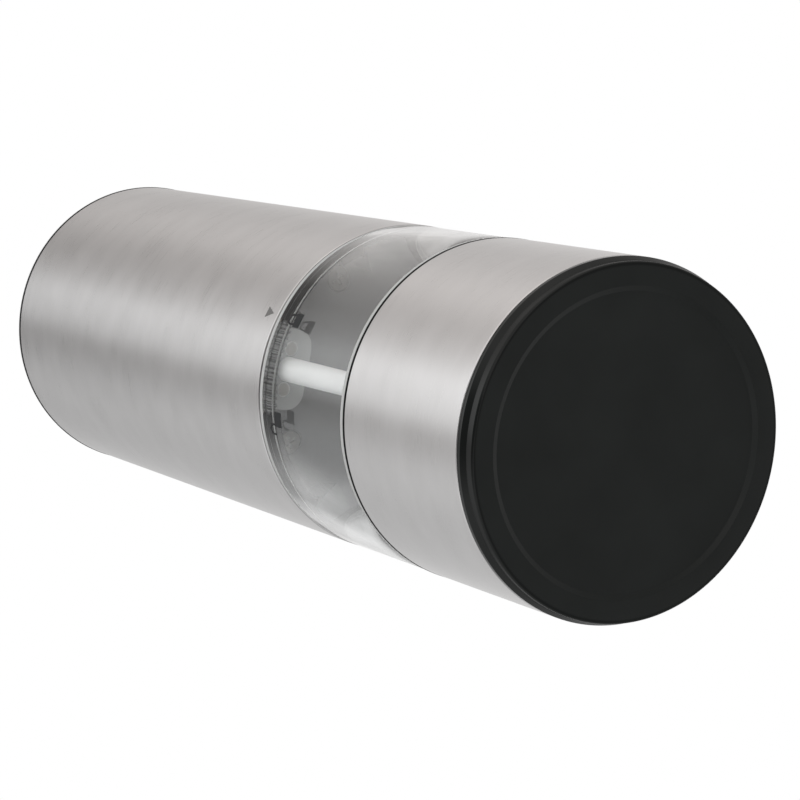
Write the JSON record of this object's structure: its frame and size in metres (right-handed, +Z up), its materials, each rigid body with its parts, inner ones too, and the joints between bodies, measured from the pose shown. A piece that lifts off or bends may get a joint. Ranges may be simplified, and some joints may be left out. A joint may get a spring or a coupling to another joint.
{
  "type": "electric pepper mill",
  "caption": "Cylindrical electric pepper mill: brushed steel sleeves, clear pepper window, twist-off motor head with push button, ceramic grinder and push-on base cap.",
  "frame": {"origin": "middle of the base cap's foot, where the mill stands", "axes": "+Z up along the mill's axis, -Y the side with the padlock marks"},
  "size_m": [0.0642, 0.0642, 0.2042],
  "materials": {
    "brushed_steel": "circular brushed satin",
    "black_plastic": "fine matt moulding",
    "seal_rubber": "matt",
    "clear_acrylic": "clear, polished",
    "milky_plastic": "translucent, natural",
    "lamp_lens": "clear lens",
    "white_plastic": "satin",
    "ceramic": "fired, matt",
    "plain_steel": "drawn",
    "motor_can": "zinc plated",
    "nylon": "natural",
    "grey_plastic": "matt",
    "brass": "plain",
    "cell_wrap": "printed wrap, unmarked",
    "circuit_board": "lacquered"
  },
  "bodies": {
    "base": {"lower_sleeve": "brushed_steel", "window_seal": "seal_rubber", "pepper_chamber": "clear_acrylic", "lock_ring": "black_plastic", "grinder_housing": "black_plastic", "housing_screws": "plain_steel", "stator": "ceramic", "lamp": "lamp_lens", "wire_tube": "white_plastic", "contact_holder": "milky_plastic", "contact_pins": "brass"},
    "cap": {"base_cap": "black_plastic"},
    "head": {"upper_sleeve": "brushed_steel", "head_shell": "black_plastic", "motor_plate": "grey_plastic", "plate_screws": "plain_steel", "head_contacts": "brass", "shaft_seal": "seal_rubber", "gearbox_case": "grey_plastic", "gearbox_cover": "grey_plastic", "motor": "motor_can", "motor_screws": "plain_steel", "battery_holder": "black_plastic", "battery_cell_1": "cell_wrap", "battery_cell_2": "cell_wrap", "battery_cell_3": "cell_wrap", "battery_cell_4": "cell_wrap", "bottom_contacts": "brass"},
    "drive": {"drive_shaft": "plain_steel", "output_carrier": "nylon", "shaft_collar": "plain_steel", "rotor_spring": "plain_steel"},
    "rotor": {"grinder_rotor": "ceramic"},
    "adjuster": {"adjuster_knob": "white_plastic"},
    "first_stage": {"first_carrier": "nylon"},
    "motor_rotor": {"motor_shaft": "plain_steel", "motor_pinion": "brass"},
    "cover": {"top_cover": "black_plastic", "switch_board": "circuit_board", "switch_leaf": "brass", "cover_contacts": "brass", "button_spring": "plain_steel"},
    "button": {"push_button": "black_plastic"},
    "planet_2a": {"planet_2a": "nylon"},
    "planet_2b": {"planet_2b": "nylon"},
    "planet_2c": {"planet_2c": "nylon"},
    "planet_1a": {"planet_1a": "nylon"},
    "planet_1b": {"planet_1b": "nylon"},
    "planet_1c": {"planet_1c": "nylon"}
  },
  "joints": [
    {"name": "head_twist", "type": "hinge", "parent": "base", "child": "head", "pos_m": [0, 0, 0.0775], "axis": [0, 0, -1], "range_deg": [0, 34]},
    {"name": "drive_spin", "type": "hinge", "parent": "head", "child": "drive", "pos_m": [0, 0, 0.08], "axis": [0, 0, 1], "continuous": true},
    {"name": "first_stage_spin", "type": "hinge", "parent": "head", "child": "first_stage", "pos_m": [0, 0, 0.093], "axis": [0, 0, 1], "continuous": true},
    {"name": "motor_spin", "type": "hinge", "parent": "head", "child": "motor_rotor", "pos_m": [0, 0, 0.12], "axis": [0, 0, 1], "continuous": true},
    {"name": "rotor_lift", "type": "slide", "parent": "drive", "child": "rotor", "axis": [0, 0, 1], "range_m": [0, 0.00081], "deforming": ["rotor_spring"]},
    {"name": "adjuster_turn", "type": "hinge", "parent": "rotor", "child": "adjuster", "pos_m": [0, 0, 0.01], "axis": [0, 0, 1], "range_deg": [0, 300]},
    {"name": "cover_lift", "type": "slide", "parent": "head", "child": "cover", "axis": [0, 0, 1], "range_m": [0, 0.03]},
    {"name": "button_press", "type": "slide", "parent": "cover", "child": "button", "axis": [0, 0, -1], "range_m": [0, 0.0025], "stiffness_N_per_m": 400, "springref_m": -0.003, "deforming": ["button_spring", "switch_leaf"]},
    {"name": "base_cap_pull", "type": "slide", "parent": "base", "child": "cap", "axis": [0, 0, -1], "range_m": [0, 0.015]},
    {"name": "planet_2a_spin", "type": "hinge", "parent": "drive", "child": "planet_2a", "pos_m": [0.0126, 0, 0.0888], "axis": [0, 0, 1], "continuous": true},
    {"name": "planet_2b_spin", "type": "hinge", "parent": "drive", "child": "planet_2b", "pos_m": [-0.0063, 0.01091, 0.0888], "axis": [0, 0, 1], "continuous": true},
    {"name": "planet_2c_spin", "type": "hinge", "parent": "drive", "child": "planet_2c", "pos_m": [-0.0063, -0.01091, 0.0888], "axis": [0, 0, 1], "continuous": true},
    {"name": "planet_1a_spin", "type": "hinge", "parent": "first_stage", "child": "planet_1a", "pos_m": [0.0126, 0, 0.0982], "axis": [0, 0, 1], "continuous": true},
    {"name": "planet_1b_spin", "type": "hinge", "parent": "first_stage", "child": "planet_1b", "pos_m": [-0.0063, 0.01091, 0.0982], "axis": [0, 0, 1], "continuous": true},
    {"name": "planet_1c_spin", "type": "hinge", "parent": "first_stage", "child": "planet_1c", "pos_m": [-0.0063, -0.01091, 0.0982], "axis": [0, 0, 1], "continuous": true}
  ],
  "couplings": [
    {"joint": "first_stage_spin", "follows": "motor_spin", "ratio": 0.25},
    {"joint": "drive_spin", "follows": "motor_spin", "ratio": 0.0625},
    {"joint": "planet_2a_spin", "follows": "motor_spin", "ratio": -0.1875},
    {"joint": "planet_2b_spin", "follows": "motor_spin", "ratio": -0.1875},
    {"joint": "planet_2c_spin", "follows": "motor_spin", "ratio": -0.1875},
    {"joint": "planet_1a_spin", "follows": "motor_spin", "ratio": -0.75},
    {"joint": "planet_1b_spin", "follows": "motor_spin", "ratio": -0.75},
    {"joint": "planet_1c_spin", "follows": "motor_spin", "ratio": -0.75}
  ]
}
